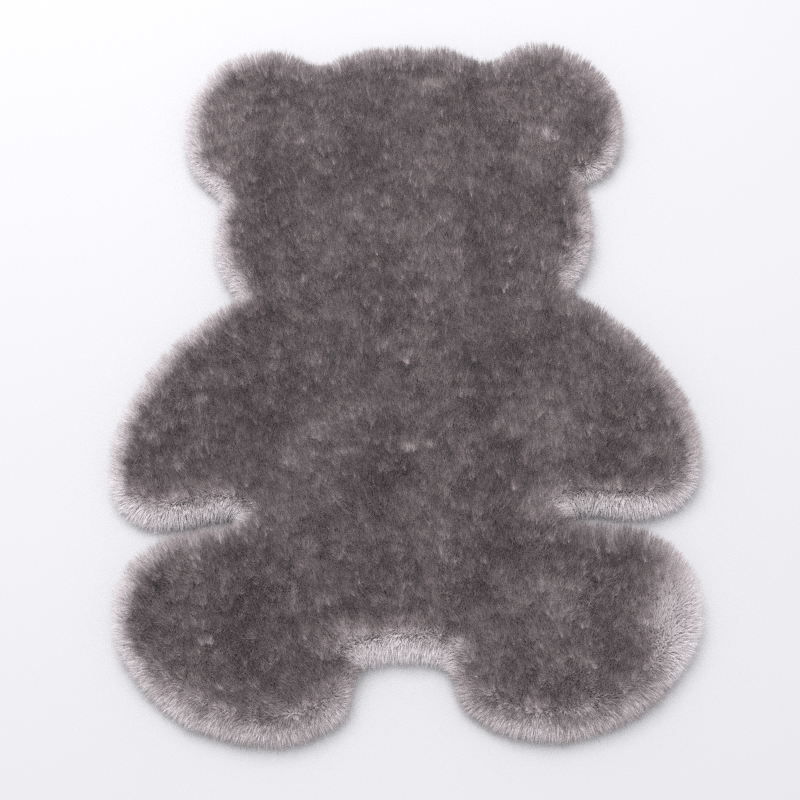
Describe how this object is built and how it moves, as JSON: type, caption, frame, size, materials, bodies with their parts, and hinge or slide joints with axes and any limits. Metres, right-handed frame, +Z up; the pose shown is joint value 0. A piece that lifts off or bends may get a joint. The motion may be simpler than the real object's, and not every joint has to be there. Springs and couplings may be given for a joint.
{
  "type": "bear shaped rug",
  "caption": "Flat plush fur rug cut in one piece to a teddy-bear silhouette, with a deep soft pile, a rounded rim and fur locks standing out round the edge.",
  "frame": {"origin": "middle of the underside, on the floor, below the middle of the rug's box", "axes": "+Y towards the head, +X to the right seen from above with the head up, +Z up out of the pile"},
  "size_m": [0.7068, 0.9256, 0.0389],
  "materials": {
    "fur": "dense plush artificial fur, grey-brown at the tips, pinkish grey below and nearly white at the roots"
  },
  "bodies": {
    "root": {"bear_rug": "fur"}
  },
  "joints": []
}
